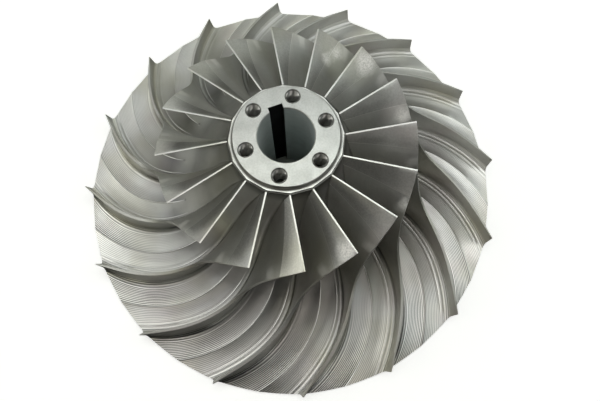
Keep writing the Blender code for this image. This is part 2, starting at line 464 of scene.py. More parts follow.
hub_line = along(HUB_CURVE, np.linspace(0, 1, HUB_POINTS))
hub_length = float(np.linalg.norm(np.diff(hub_line, axis=0), axis=1).sum())
pit_steps = CUSP_START + np.array(PIT_ROWS) * PIT_RADIUS / hub_length
floor_steps = np.sort(np.append(np.linspace(0, 1, FLOOR_ROWS), pit_steps))
floor_points, floor_flow = passage_rows(floor_steps)
passage_middle = math.radians(WRAP_AT_HUB[0]) + PITCH / 2
floor_points = np.concatenate([lip_rows(floor_points[0], passage_middle), floor_points])
floor_flow = np.concatenate([floor_flow[:1]] * 3 + [floor_flow])
floor = shaped_grid("passage_floor_01", floor_points, floor_flow)
clean(floor, FINE_MERGE, fill=True)
smooth(floor, FLOW_SMOOTHING)
floors = copy_round(floor, BLADE_COUNT)
print("passage floors:", len(floors), "of", triangles(floor), "triangles")

# %% [markdown]
# ## The blades
# Each blade is a thin plate that thickens towards its foot. Its sides are straight from
# foot to tip, because the flank of the cutter made them. Its inlet edge is relieved to an
# even thin line, which leaves a long wedge of facet beside it that ends at a fine ridge.
# The tip and the exit edge are turned flat with a fine break along their edges.
#
# The plate is drawn as a ring of columns round its section. Every column has its own list
# of steps, so that one row of points follows the ridge from foot to tip. A first and a last
# row pulled in to the middle line close the plate's two ends, and its foot runs down below
# the fillet, so no gap shows there. The flow map runs up one side, from 0 to 1, and down
# the other, from 1 to 2.

# %% One blade
STATIONS = 400
FACET_ROWS = 8
REST_ROWS = 76
SIDE_COLUMNS = 14
EDGE_BREAK = 0.00012
FOOT_DEPTH = 0.0014
RIDGE_HEIGHT = 0.00004
RIDGE_WIDTH = 0.0005


def column_steps(share):
    """The steps of one column of points, from the inlet edge to the exit edge."""
    ridge = ridge_step(share)
    edge, near = EDGE_BREAK / hub_length, RIDGE_WIDTH / hub_length
    facet = np.linspace(edge, ridge - near, FACET_ROWS)
    rest = np.linspace(ridge + near, 1 - edge, REST_ROWS)
    return np.concatenate([[0, 0], facet, [ridge], rest, [1, 1]])


def blade_column(stations, share, side, kind):
    """Points and flow map of one column. kind is foot, side or land."""
    steps = column_steps(share)
    places = steps * STATIONS
    ridge_row = 2 + FACET_ROWS
    every = np.arange(STATIONS + 1)
    height = np.interp(places, every, stations.height)
    root = np.interp(places, every, stations.root_half)
    tip = np.interp(places, every, stations.tip_half)
    half = relieved(root + (tip - root) * share, share, steps)
    if side < 0 and kind == "side":
        half[ridge_row] += RIDGE_HEIGHT
    if kind == "land":
        half -= EDGE_BREAK
    half[[1, -2]] -= EDGE_BREAK
    half[[0, -1]] = 0
    ups = {
        "foot": np.full(len(steps), -FOOT_DEPTH),
        "side": share * (height - EDGE_BREAK),
        "land": height,
    }[kind]
    points = [blended_point(stations, *where) for where in zip(places, ups, side * half)]
    across = share if side <= 0 else 2 - share
    return points, np.stack([np.full(len(steps), across), steps], 1)


def blended_point(stations, place, up, off):
    """A point of the blade between two of its stations."""
    row = min(int(place), STATIONS - 1)
    share = place - row
    low_point = np.array(stations.point(row, up, off))
    high_point = np.array(stations.point(row + 1, up, off))
    return low_point + (high_point - low_point) * share


def blade_rows():
    """Points and flow map of blade 0, as a closed ring of columns at each row."""
    stations = Blade(np.linspace(0, 1, STATIONS + 1))
    sides = [(share, -1, "side") for share in np.linspace(0, 1, SIDE_COLUMNS)]
    up_side = [(0.0, 0, "foot"), (0.0, -1, "foot"), *sides, (1.0, -1, "land")]
    ring = up_side + [(share, -side, kind) for share, side, kind in up_side[::-1]]
    columns = [blade_column(stations, *column) for column in ring]
    return [np.array(part).transpose(1, 0, 2) for part in zip(*columns)]


blade = shaped_grid("blade_01", *blade_rows())
clean(blade, FINE_MERGE)
smooth(blade, FLOW_SMOOTHING)
blades = copy_round(blade, BLADE_COUNT)
print("blades:", len(blades), "of", triangles(blade), "triangles")

# %% [markdown]
# ## The disc under the floors
# The disc is a turned shape, so it is drawn as a half section and spun. The section starts
# as a plane merged to one point, and is drawn on by extruding that point. Its upper side
# keeps just under the passage floors, and leaves the nose a seat deep enough to keep clear
# of the tapped holes. What shows of it is the rim, with a small break at its foot, and the
# flat back.

# %% Turned shapes
TURN_STEPS = 288


def turned_piece(name, outline, steps=TURN_STEPS):
    """A ring spun from a closed outline of (radius, height) points."""
    deselect_all()
    radius, height = outline[0]
    bpy.ops.mesh.primitive_plane_add(size=0.001, location=(0, 0, 0))
    piece = named(name)
    bpy.ops.object.mode_set(mode="EDIT")
    bpy.ops.mesh.select_mode(type="VERT")
    bpy.ops.mesh.select_all(action="SELECT")
    bpy.ops.mesh.merge(type="CENTER")
    bpy.ops.transform.translate(value=(radius, 0, height))
    for following in outline[1:]:
        move = (following[0] - radius, 0, following[1] - height)
        bpy.ops.mesh.extrude_region_move(TRANSFORM_OT_translate={"value": move})
        radius, height = following
    bpy.ops.mesh.select_all(action="SELECT")
    bpy.ops.mesh.spin(steps=steps, angle=2 * math.pi, center=(0, 0, 0), axis=(0, 0, 1))
    return clean(piece)


STEM_RADIUS = 0.025
SEAT_HEIGHT = 0.074
SEAT_RADIUS = 0.0365
SEAT_GAP = 0.0003
BACK_BREAK = 0.0005
UNDER_SHARE = 0.80
UNDER_START = 0.02
UNDER_POINTS = 24
under_steps = np.linspace(UNDER_START, 1, UNDER_POINTS)
under = along(HUB_CURVE, under_steps)
under_slope = np.gradient(under, axis=0)
under_slope /= np.linalg.norm(under_slope, axis=1)[:, None]
under_depth = UNDER_SHARE * FLOOR_DEPTH + (INLET_SINK + INLET_DISH) * inlet_dip(under_steps)
sunk = under + under_depth[:, None] * np.stack([under_slope[:, 1], -under_slope[:, 0]], 1)
sunk = sunk.tolist()
disc_outline = [
    (STEM_RADIUS, 0.0),
    (STEM_RADIUS, SEAT_HEIGHT - SEAT_GAP),
    (SEAT_RADIUS - SEAT_GAP, SEAT_HEIGHT - SEAT_GAP),
    (SEAT_RADIUS, sunk[0][1]),
    *sunk,
    (WHEEL_RADIUS, sunk[-1][1]),
    (WHEEL_RADIUS, BACK_BREAK),
    (WHEEL_RADIUS - BACK_BREAK, 0.0),
    (STEM_RADIUS, 0.0),
]
disc = smooth(turned_piece("back_disc", disc_outline))
print("back disc:", triangles(disc), "triangles")

# %% [markdown]
# ## The nose and the bore
# The nose is turned too: a raised clamping face with a small chamfer, a step with a sloped
# wall and a round corner, and the seat of the lip that the floors carry. The bore runs right
# through. The keyway and the six holes are cut afterwards with Boolean modifiers, as on the
# real wheel.

# %% Turn the nose
STEP_CORNER = 0.0006
STEP_FOOT_RADIUS = 0.0363
FACE_CHAMFER = 0.0005
BORE_CHAMFER = 0.0006
LIP_UNDERCUT = 0.0010
CORNER_POINTS = 7
corner = [
    (
        STEP_FOOT_RADIUS + STEP_CORNER * (1 - math.sin(math.pi / 2 - turn)),
        LIP_HEIGHT + STEP_CORNER * (1 - math.sin(turn)),
    )
    for turn in np.linspace(math.pi / 2, 0, CORNER_POINTS)
]
nose_outline = [
    (BORE_RADIUS + BORE_CHAMFER, 0.0),
    (STEM_RADIUS, 0.0),
    (STEM_RADIUS, SEAT_HEIGHT),
    (SEAT_RADIUS, SEAT_HEIGHT),
    (LIP_SEAM_RADIUS, HUB_CURVE[0][1] - LIP_UNDERCUT),
    (LIP_SEAM_RADIUS, LIP_HEIGHT),
    *corner,
    (FACE_RADIUS, NOSE_TOP - FACE_CHAMFER),
    (FACE_RADIUS - FACE_CHAMFER, NOSE_TOP),
    (BORE_RADIUS + BORE_CHAMFER, NOSE_TOP),
    (BORE_RADIUS, NOSE_TOP - BORE_CHAMFER),
    (BORE_RADIUS, BORE_CHAMFER),
    (BORE_RADIUS + BORE_CHAMFER, 0.0),
]
nose = turned_piece("nose", nose_outline)

# %% Cut the keyway and the six holes
HOLE_MOUTH = 0.0054
HOLE_CHAMFER_DEPTH = 0.0008
THREAD_MAJOR = 0.0050
THREAD_MINOR = 0.00425
THREAD_PITCH = 0.0015
THREAD_DEPTH = 0.0215
HOLE_WALL = 0.0052
HOLE_STEP = 0.0001
DRILL_POINT = 0.00235
HOLE_SIDES = 64
OVERCUT = 0.001


def cut(piece, cutter):
    take(piece)
    boolean = piece.modifiers.new("cut", "BOOLEAN")
    boolean.operation = "DIFFERENCE"
    boolean.solver = "EXACT"
    boolean.object = cutter
    bpy.ops.object.modifier_apply(modifier=boolean.name)
    bpy.data.objects.remove(cutter, do_unlink=True)


def hole_cutter():
    """The shape that the drill, the countersink and the tap leave, standing on the axis."""
    outline = [
        (0.0, OVERCUT),
        (HOLE_MOUTH + OVERCUT, OVERCUT),
        (HOLE_MOUTH - HOLE_CHAMFER_DEPTH, -HOLE_CHAMFER_DEPTH),
        (HOLE_WALL, -HOLE_CHAMFER_DEPTH - HOLE_STEP),
        (HOLE_WALL, -THREAD_DEPTH),
        (0.0, -THREAD_DEPTH - DRILL_POINT),
    ]
    return turned_piece("hole_cutter", outline, HOLE_SIDES)


deselect_all()
bpy.ops.mesh.primitive_cube_add(size=1, location=(0, 0, 0))
key_cutter = named("key_cutter")
key_cutter.data.transform(Matrix.Diagonal((KEY_REACH, KEY_WIDTH, NOSE_TOP + 4 * OVERCUT, 1)))
key_cutter.data.transform(Matrix.Translation((KEY_REACH / 2, 0, NOSE_TOP / 2)))
key_cutter.data.transform(Matrix.Rotation(KEY_ANGLE, 4, "Z"))
cut(nose, key_cutter)
bolt_places = []
for number in range(BOLT_COUNT):
    turn = BOLT_ANGLE - 2 * math.pi * number / BOLT_COUNT
    x, y = BOLT_CIRCLE_RADIUS * math.cos(turn), BOLT_CIRCLE_RADIUS * math.sin(turn)
    bolt_places.append((x, y, NOSE_TOP))
    cutter = hole_cutter()
    cutter.data.transform(Matrix.Translation(bolt_places[-1]))
    cut(nose, cutter)
smooth(nose)
print("nose:", triangles(nose), "triangles")

# %% [markdown]
# ## The threads
# A tapped hole is a screw-shaped furrow in its wall. One wall is drawn as a grid wrapped
# into a tube, with its radius following a slanted zigzag, so the crests climb one pitch in
# each turn. Two more rings close it on the outside, and six copies stand in the holes.

# %% Threads in the six holes
AROUND = 40
ROWS_PER_PITCH = 6
THREAD_BACK = 0.0002
THREAD_FLANK = 2.6
THREAD_FLAT = 0.15
THREAD_SMOOTHING = 40


def thread_points():
    """Points and flow map of one thread, standing on the axis, as rings from its mouth down."""
    turns = np.linspace(0, 1, AROUND + 1)
    rows = int(THREAD_DEPTH / THREAD_PITCH * ROWS_PER_PITCH)
    heights = np.linspace(-HOLE_CHAMFER_DEPTH, -THREAD_DEPTH, rows)

    def ring(radius, height):
        size = AROUND + 1
        return on_circle(np.full(size, radius), turns * 2 * math.pi, np.full(size, height))

    points = [ring(HOLE_WALL + THREAD_BACK, heights[0]), ring(HOLE_MOUTH - HOLE_CHAMFER_DEPTH, heights[0])]
    for height in heights[1:]:
        climb = np.mod(height / THREAD_PITCH - turns, 1)
        zigzag = np.clip(np.abs(climb - 0.5) * THREAD_FLANK - THREAD_FLAT, 0, 1)
        points.append(ring(THREAD_MINOR + (THREAD_MAJOR - THREAD_MINOR) * zigzag, height))
    points.append(ring(HOLE_WALL + THREAD_BACK, heights[-1]))
    points.append(points[0])
    points = np.array(points)
    share = np.linspace(0, 1, len(points))
    flow = np.stack(np.meshgrid(turns, share), -1)
    return points, flow


thread = shaped_grid("thread_1", *thread_points())
clean(thread)
smooth(thread, THREAD_SMOOTHING)
threads = [thread] + [twin(thread, f"thread_{number + 1}") for number in range(1, BOLT_COUNT)]
for item, place in zip(threads, bolt_places):
    item.data.transform(Matrix.Translation(place))
print("threads:", len(threads), "of", triangles(thread), "triangles")

# %% [markdown]
# ## Wiring up materials
# Shader maths reads best as ordinary expressions. Wire wraps one socket, so that adding or
# multiplying two wires adds the Math node for it. Finish holds one material and adds any
# other node, given its type, its settings and what goes into its sockets.

# %% A small language for finishes
class Wire:
    """One output socket of a material, which can be used in arithmetic."""

    def __init__(self, finish, socket):
        self.finish = finish
        self.socket = socket

    def math(self, operation, *others):
        inputs = dict(enumerate((self, *others)))
        return self.finish.add("ShaderNodeMath", {"operation": operation}, inputs)

    def __add__(self, other):
        return self.math("ADD", other)

    __radd__ = __add__

    def __mul__(self, other):
        return self.math("MULTIPLY", other)

    __rmul__ = __mul__

    def __sub__(self, other):
        return self.math("SUBTRACT", other)

    def __rsub__(self, other):
        return self.finish.add("ShaderNodeMath", {"operation": "SUBTRACT"}, {0: other, 1: self})


class Finish:
    """One material: a Principled shader and the nodes that feed it."""

    def __init__(self, name, colour, roughness, metallic=1.0):
        self.material = bpy.data.materials.new(name)
        self.material.use_nodes = True
        self.tree = self.material.node_tree
        self.shader = self.tree.nodes["Principled BSDF"]
        self.set("Base Color", (*colour, 1))
        self.set("Roughness", roughness)
        self.set("Metallic", metallic)

    def set(self, socket, value):
        self.feed(self.shader.inputs[socket], value)

    def feed(self, socket, value):
        if isinstance(value, Wire):
            self.tree.links.new(value.socket, socket)
        else:
            socket.default_value = value

    def add(self, kind, settings=None, inputs=None, output=0):
        node = self.tree.nodes.new(kind)
        for name, value in (settings or {}).items():
            setattr(node, name, value)
        for name, value in (inputs or {}).items():
            self.feed(node.inputs[name], value)
        return Wire(self, node.outputs[output])

    def place(self):
        return self.add("ShaderNodeTexCoord", output="Object")

    def noise(self, where, scale, detail, roughness=0.55):
        inputs = {"Vector": where, "Scale": scale, "Detail": detail, "Roughness": roughness}
        return self.add("ShaderNodeTexNoise", inputs=inputs)

    def axis(self, vector, name):
        """One coordinate of a vector."""
        return self.add("ShaderNodeSeparateXYZ", inputs={0: vector}, output=name)

    def scaled(self, vector, scale):
        return self.add("ShaderNodeMapping", inputs={"Vector": vector, "Scale": scale})

    def vector(self, operation, *vectors, output="Vector"):
        settings = {"operation": operation}
        return self.add("ShaderNodeVectorMath", settings, dict(enumerate(vectors)), output)

    def ramp(self, value, low, high, low_out=0.0, high_out=1.0):
        """low_out where value is low, high_out where it is high, and even steps between."""
        inputs = {"Value": value, 1: low, 2: high, 3: low_out, 4: high_out}
        return self.add("ShaderNodeMapRange", inputs=inputs)

    def patches(self, where, scale, detail, *span):
        """Noise whose values over a span are spread out from 0 to 1."""
        return self.ramp(self.noise(where, scale, detail), *span)

    def mix(self, share, first, second):
        """A colour between two, each a wire or three numbers. Sockets 6, 7 and 2 carry colours."""
        ends = [colour if isinstance(colour, Wire) else (*colour, 1) for colour in (first, second)]
        inputs = {"Factor": share, 6: ends[0], 7: ends[1]}
        return self.add("ShaderNodeMix", {"data_type": "RGBA"}, inputs, 2)

    def bump(self, height, distance):
        self.set("Normal", self.add("ShaderNodeBump", inputs={"Height": height, "Distance": distance}))


# %% [markdown]
# ## Milled aluminium
# Fresh aluminium off the mill is bright and slightly warm, never mirror smooth. The floors'
# furrows are in the mesh already. The finish adds long streaks, dull patches and two sorts
# of coolant stain. On the floors it paints shade: darker at the inlet, in the middle of the
# passage, on the far side and in the furrows towards the rim. It paints light too: a lighter
# rim and bright highlights on the cusp and the blade's foot. All of these but the patches,
# the stains and the far-side shade read the flow map, so they bend with the passage.

# %% Finish of the passage floors
# A span is where a ramp starts and ends, and its values there if they aren't 0 and 1.
# Patches have a scale and a detail ahead of their span, and a grain has only those two.
# A stain has patches, a strength and a tint.
STREAKS = (1.0, 4.0)
STREAK_SPAN = (0.35, 0.65)
FINE_GRAIN = (1300.0, 2.0)
DULL_PATCHES = (55.0, 4.0, 0.50, 0.66)
SPECKLES = (800.0, 1.0, 0.42, 0.62)
FAR_SIDE_ROUGHER = (0.0, 0.10, 0.0, 0.12)
DULL_ROUGHER = 0.06
DULL_DARKER = 0.35
DARKER = (0.86, 0.86, 0.86)
OLIVE_STAIN = ((17.0, 2.0, 0.46, 0.62), 0.45, (0.72, 0.70, 0.58))
MAUVE_STAIN = ((26.0, 1.0, 0.54, 0.66), 0.30, (0.78, 0.70, 0.72))
MILLED_BUMP = 0.00003


def tinted(colour, tint):
    return tuple(share * part for share, part in zip(tint, colour))


def milled(name, colour, roughness, streak_scale, streaky, grainy, speckled=0.0, painted_light=None):
    """Streaked, stained metal. The last argument paints light and shade over the colour and says how matte
    each place is.
    """
    finish = Finish(name, colour, roughness)
    where = finish.place()
    flow = finish.add("ShaderNodeUVMap", {"uv_map": "flow"})
    streaks = finish.noise(finish.scaled(flow, streak_scale), *STREAKS)
    dull = finish.patches(where, *DULL_PATCHES)
    grain = finish.noise(where, *FINE_GRAIN)
    rougher = finish.ramp(finish.axis(where, "Y"), *FAR_SIDE_ROUGHER)
    finish.set("Roughness", roughness + (streaks - 0.5) * streaky + dull * DULL_ROUGHER + rougher)
    share = finish.ramp(streaks, *STREAK_SPAN) * (2.5 * streaky) + dull * DULL_DARKER
    share = share + finish.patches(where, *SPECKLES) * speckled
    shade = finish.mix(share, colour, tinted(colour, DARKER))
    for stain, strength, tint in (OLIVE_STAIN, MAUVE_STAIN):
        shade = finish.mix(finish.patches(where, *stain) * strength, shade, tinted(colour, tint))
    matte = 0.0
    if painted_light:
        shade, matte = painted_light(finish, flow, shade)
    finish.set("Base Color", shade)
    finish.set("Metallic", 1 - matte)
    finish.bump(streaks * (4 * streaky) + grain * grainy, MILLED_BUMP)
    return finish.material


# Painted shade and light along a floor: darker in the middle, lighter at the rim, darker on the far side and
# at the inlet.
PAINTED_SHADE_MIDDLE = (0.30, 0.42, 0.52, 0.25)
PAINTED_LIGHT_RIM = (0.58, 0.90, 0.0, 0.75)
PAINTED_SHADE_FAR_SIDE = (0.12, 0.0, 0.80, 1.0)
PAINTED_SHADE_INLET = (0.05, 0.0)
# Painted shade in the furrow bottoms towards the rim, uneven, stronger on the near side and on the first
# half.
LINES_START = (0.62, 0.86)
LINES_SCALE = (5.0, 5.0, 1.0)
LINES_UNEVEN = (1.0, 1.0, 0.25, 0.55, 0.6, 1.0)
LINES_NEAR_SIDE = (0.06, -0.06, 0.20, 1.0)
LINES_BY_HALF = (0.48, 0.52, 1.0, 0.55)
FURROW_SPAN = (0.75, 0.25)
FURROW_SHADE_COLOUR = (0.16, 0.16, 0.155)
INLET_SHADE_COLOUR = (0.16, 0.16, 0.15)
# Painted highlights along the cusp and the blade's foot, fainter on the far side.
CUSP_HIGHLIGHT = (0.016, 0.006)
CUSP_HIGHLIGHT_GROWS = (CUSP_START, CUSP_START + 0.08)
HIGHLIGHT_NEAR_SIDE = (0.10, -0.02, 0.35, 1.0)
FOOT_PLACE = 0.985
FOOT_HIGHLIGHT = (0.014, 0.006)
FOOT_HIGHLIGHT_STRENGTH = 0.8
HIGHLIGHT_COLOUR = (1.0, 1.0, 0.98)


def floor_painted_light(finish, flow, shade):
    """Painted shade and light along a floor, painted shade in its furrows towards the rim, and painted
    highlights on the cusp and the foot.
    """
    across = finish.axis(flow, "X")
    step = finish.axis(flow, "Y")
    front = finish.axis(finish.place(), "Y")
    light = finish.ramp(step, *PAINTED_SHADE_MIDDLE) + finish.ramp(step, *PAINTED_LIGHT_RIM)
    shade = finish.mix(light * finish.ramp(front, *PAINTED_SHADE_FAR_SIDE), (0, 0, 0), shade)
    shade = finish.mix(finish.ramp(step, *PAINTED_SHADE_INLET), shade, INLET_SHADE_COLOUR)
    uneven = finish.patches(finish.scaled(flow, LINES_SCALE), *LINES_UNEVEN)
    lines = finish.ramp(step, *LINES_START) * uneven * finish.ramp(front, *LINES_NEAR_SIDE)
    crest = (across * (2 * math.pi * FURROWS)).math("COSINE") * 0.5 + 0.5
    furrow = finish.ramp(crest, *FURROW_SPAN) * lines * finish.ramp(across, *LINES_BY_HALF)
    shade = finish.mix(furrow, shade, FURROW_SHADE_COLOUR)
    from_middle = (across - 0.5).math("ABSOLUTE")
    from_foot = (across - FOOT_PLACE).math("ABSOLUTE")
    bright = finish.ramp(from_middle, *CUSP_HIGHLIGHT) + finish.ramp(from_foot, *FOOT_HIGHLIGHT) * FOOT_HIGHLIGHT_STRENGTH
    grown = finish.ramp(step, *CUSP_HIGHLIGHT_GROWS) * finish.ramp(front, *HIGHLIGHT_NEAR_SIDE)
    return finish.mix(bright * grown, shade, HIGHLIGHT_COLOUR), 0.0


floor_finish = milled("milled_floor", (1.0, 1.0, 0.97), 0.34, (60.0, 3.0, 1.0), 0.05, 0.2, painted_light=floor_painted_light)

# %% [markdown]
# ## Painted light on the blades
# Every blade has painted highlights along the ridge of its facet and near its tip, and painted
# shade past its inlet part. Five blades have duller spots whose paler colour is a painted
# highlight, and one facet takes a lighter copy of the facet finish, painted lit.

# %% Finish of the blades
# Each duller spot with a painted highlight has a blade, a step along it, a share of its height and a radius.
HIGHLIGHT_SPOTS = (
    (9, 0.035, 0.88, 0.009),
    (14, 0.08, 0.85, 0.011),
    (15, 0.10, 0.62, 0.006),
    (15, 0.17, 0.80, 0.007),
    (13, 0.225, 0.88, 0.0085),
    (11, 0.21, 0.95, 0.005),
)
SPOT_SPECKLE = (900.0, 1.0, 0.35, 0.60, 0.45, 1.0)
SPOT_EDGE = (180.0, 2.0)
SPOT_UNEVEN = 0.006
SPOT_SOFTNESS = 0.003
SPOT_HIGHLIGHT_COLOUR = (0.95, 0.93, 0.90)
SPOT_MATTE = 0.9
# Painted highlights along the facet's ridge and near the tip, on one side of each blade.
SEEN_SIDE = (1.02, 0.98)
RIDGE_HIGHLIGHT = (0.004, 0.0015)
RIDGE_HIGHLIGHT_COLOUR = (1.0, 1.0, 0.97)
RIDGE_HIGHLIGHT_STRENGTH = 0.6
PATCH_STEP = 0.235
PATCH_ALONG = (0.056, 0.030)
PATCH_UP = (0.78, 0.90)
PATCH_EDGE = (160.0, 2.0)
PATCH_UNEVEN = 0.03
TIP_HIGHLIGHT_COLOUR = (1.0, 0.98, 0.95)
TIP_HIGHLIGHT_STRENGTH = 0.4
PATCH_MATTE = 0.2
PLACE_STATIONS = 100
# Painted shade: each blade darker past its inlet part.
BLADE_SHADE_PAST_INLET = (0.20, 0.40, 1.0, 0.84)


def blade_place(number, step, share):
    """A place on a blade, by the blade's number, the step along it and the share of its height."""
    stations = Blade(np.linspace(0, 1, PLACE_STATIONS + 1))
    row = round(step * PLACE_STATIONS)
    point = stations.point(row, share * stations.height[row], 0.0)
    return tuple(float(part) for part in turned_by(point, PITCH * number))


def painted_highlight_spots(finish, flow, shade):
    """Duller spots near the tip of a few blades, whose paler speckled colour is a painted highlight."""
    where = finish.place()
    speckle = finish.patches(where, *SPOT_SPECKLE)
    uneven = finish.noise(where, *SPOT_EDGE) * SPOT_UNEVEN
    matte = 0.0
    for number, step, share, radius in HIGHLIGHT_SPOTS:
        centre = blade_place(number, step, share)
        away = finish.vector("DISTANCE", where, centre, output="Value") + uneven
        matte = finish.ramp(away, radius + SPOT_SOFTNESS, 0.6 * radius) * speckle + matte
    return finish.mix(matte, shade, SPOT_HIGHLIGHT_COLOUR), matte * SPOT_MATTE


def blade_painted_light(finish, flow, shade):
    """Painted highlights along the facet's ridge and near the tip of every blade, painted shade past the
    inlet part, and the spots.
    """
    share = finish.axis(flow, "X")
    step = finish.axis(flow, "Y")
    ridge = share * FACET_LINE[1] + share * share * FACET_LINE[2] + FACET_LINE[0]
    seen_side = finish.ramp(share, *SEEN_SIDE)
    on_ridge = finish.ramp((step - ridge).math("ABSOLUTE"), *RIDGE_HIGHLIGHT) * seen_side
    edge = finish.noise(finish.place(), *PATCH_EDGE) * PATCH_UNEVEN
    along_patch = finish.ramp((step - PATCH_STEP).math("ABSOLUTE") + edge, *PATCH_ALONG)
    on_patch = along_patch * finish.ramp(share + edge, *PATCH_UP) * seen_side
    shade, matte = painted_highlight_spots(finish, flow, shade)
    shade = finish.mix(on_patch * TIP_HIGHLIGHT_STRENGTH, shade, TIP_HIGHLIGHT_COLOUR)
    shade = finish.mix(finish.ramp(step, *BLADE_SHADE_PAST_INLET), (0, 0, 0), shade)
    shade = finish.mix(on_ridge * RIDGE_HIGHLIGHT_STRENGTH, shade, RIDGE_HIGHLIGHT_COLOUR)
    return shade, matte + on_patch * PATCH_MATTE


ACROSS_FLOW = (10.0, 40.0, 1.0)
blade_finish = milled(
    "milled_blade", (0.69, 0.69, 0.665), 0.46, (16.0, 4.0, 1.0), 0.08, 0.15, 0.2, painted_light=blade_painted_light
)
facet_finish = milled("relieved_facet", (0.56, 0.56, 0.54), 0.42, ACROSS_FLOW, 0.10, 1.0, 0.8, painted_light=painted_highlight_spots)
# A lighter copy of the facet finish, painted lit, for one blade's facet.
lit_facet_finish = milled("lit_facet", (1.0, 1.0, 0.97), 0.50, ACROSS_FLOW, 0.10, 1.5, 2.5)
edge_finish = milled("bright_edge", (0.78, 0.78, 0.76), 0.42, ACROSS_FLOW, 0.02, 0.2)

# %% [markdown]
# ## Turned metal
# The nose, the bore and the back come off the lathe. They have a fine grain, worn areas,
# small dark spots on the face and, on the back, rings drawn with a sine of the radius. The
# step, the keyway, the holes' deep walls and the countersinks take darker copies of turned
# metal, which are painted shade.

# %% Turned faces, bore and threads
TURNED_GRAIN = (1400.0, 2.0)
BROAD_WEAR = (90.0, 4.0)
WORN_SPAN = (0.4, 0.7)
WORN_SHARE = 0.35
WORN_UNEVEN = 0.15
WORN = (0.72, 0.72, 0.72)
SMALL_SPOTS = (760.0, 3.0, 0.7)
SPOT_SPAN = (0.42, 0.66)
TURNED_BUMP = 0.00004
RING_SHARE = 0.35


def turned(name, colour, roughness, speckle, rings=0.0, mottle=0.0):
    finish = Finish(name, colour, roughness)
    where = finish.place()
    radius = finish.vector("LENGTH", finish.vector("MULTIPLY", where, (1, 1, 0)), output="Value")
    lines = (radius * rings).math("SINE") * 0.5 + 0.5
    grain = finish.noise(where, *TURNED_GRAIN)
    broad = finish.noise(where, *BROAD_WEAR)
    finish.set("Roughness", roughness + (grain - 0.5) * speckle + (broad - 0.5) * WORN_UNEVEN)
    spots = finish.ramp(finish.noise(where, *SMALL_SPOTS), *SPOT_SPAN) * mottle
    worn = finish.ramp(broad, *WORN_SPAN) * WORN_SHARE + spots
    finish.set("Base Color", finish.mix(worn, colour, tinted(colour, WORN)))
    finish.bump(lines * RING_SHARE + grain * (1 - RING_SHARE) - spots, TURNED_BUMP)
    return finish.material


face_finish = turned("turned_face", (0.49, 0.49, 0.475), 0.40, 0.25, mottle=0.45)
# A darker copy of turned metal for the step, painted shade.
step_shade_finish = turned("shaded_step", (0.38, 0.38, 0.365), 0.40, 0.10)
back_finish = turned("turned_back", (0.62, 0.62, 0.60), 0.40, 0.12, rings=5200.0)
bore_finish = turned("bored_wall", (0.76, 0.81, 0.80), 0.66, 0.10)
# A near-black finish, painted shade in the keyway and deep in the holes.
recess_shade_finish = turned("shaded_recess", (0.04, 0.04, 0.04), 0.55, 0.10)
thread_finish = turned("tapped_wall", (0.60, 0.60, 0.58), 0.30, 0.05)
# A darker copy of turned metal for the countersinks, painted shade.
countersink_shade_finish = turned("countersink", (0.23, 0.23, 0.22), 0.40, 0.10)
print("finishes:", len(bpy.data.materials))

# %% [markdown]
# ## Which finish goes where
# The disc and the threads take one finish each, a floor two, a blade three and the nose six.
# A blade's faces are found by their place on the flow map, and the others by their height
# and by how far they lie from the axis or from a hole.

# %% Put the finishes on
# The blade whose facet takes the lighter copy, painted lit.
LIT_FACET_BLADES = (8,)
NOSE_FINISHES = (face_finish, bore_finish, recess_shade_finish, countersink_shade_finish, step_shade_finish, back_finish)
ON_FACE, ON_BORE, ON_SHADED_RECESS, ON_COUNTERSINK, ON_STEP, ON_BACK = range(len(NOSE_FINISHES))
HAIR = 0.00005
KEY_SLACK = 0.001
BORE_SLACK = 0.00002


def finish_faces(piece, finishes, number_of):
    """Puts the finishes on a piece, each face taking the one whose number number_of gives."""
    piece.data.materials.clear()
    for finish in finishes:
        piece.data.materials.append(finish)
    for face in piece.data.polygons:
        face.material_index = number_of(face)


def flow_middle(piece, face):
    """The middle of a face on the flow map."""
    places = [piece.data.uv_layers["flow"].data[corner].uv for corner in face.loop_indices]
    return [sum(place[axis] for place in places) / len(places) for axis in (0, 1)]


def floor_number(face):
    """1 on the lip, 0 on the rest of a floor."""
    return int(face.normal.z > 0.99 and face.center.z > LIP_HEIGHT - LIP_OVERLAP)


def blade_number(piece, face):
    """2 on the inlet edge, 1 on the facet beside it, 0 on the rest of a blade."""
    share, step = flow_middle(piece, face)
    if step < EDGE_BREAK / hub_length:
        return 2
    return int(share < 1 and step < ridge_step(share))


def nose_number(face):
    """Which of NOSE_FINISHES a face of the nose takes."""
    middle = face.center
    from_axis = middle.xy.length
    # Keyway walls take the near-black finish, painted shade in the slot.
    if abs(face.normal.z) < 0.5 and from_axis < KEY_REACH + KEY_SLACK:
        return ON_BORE if from_axis < BORE_RADIUS + BORE_SLACK else ON_SHADED_RECESS
    if middle.z < BORE_CHAMFER:
        return ON_BACK
    for place in bolt_places:
        away = (middle - Vector(place)).xy.length
        if away < HOLE_MOUTH + HAIR and middle.z < NOSE_TOP - HAIR:
            # Below its countersink a hole's walls take the same painted shade; the countersink takes its own
            # darker finish, painted shade.
            return ON_COUNTERSINK if middle.z > NOSE_TOP - HOLE_CHAMFER_DEPTH - 2 * HAIR else ON_SHADED_RECESS
    # The step and its round corner take the darker copy, painted shade.
    on_step = FACE_RADIUS - 2 * HAIR < from_axis < STEP_FOOT_RADIUS + 0.6 * STEP_CORNER
    return ON_STEP if on_step and LIP_HEIGHT < middle.z < NOSE_TOP - FACE_CHAMFER else ON_FACE


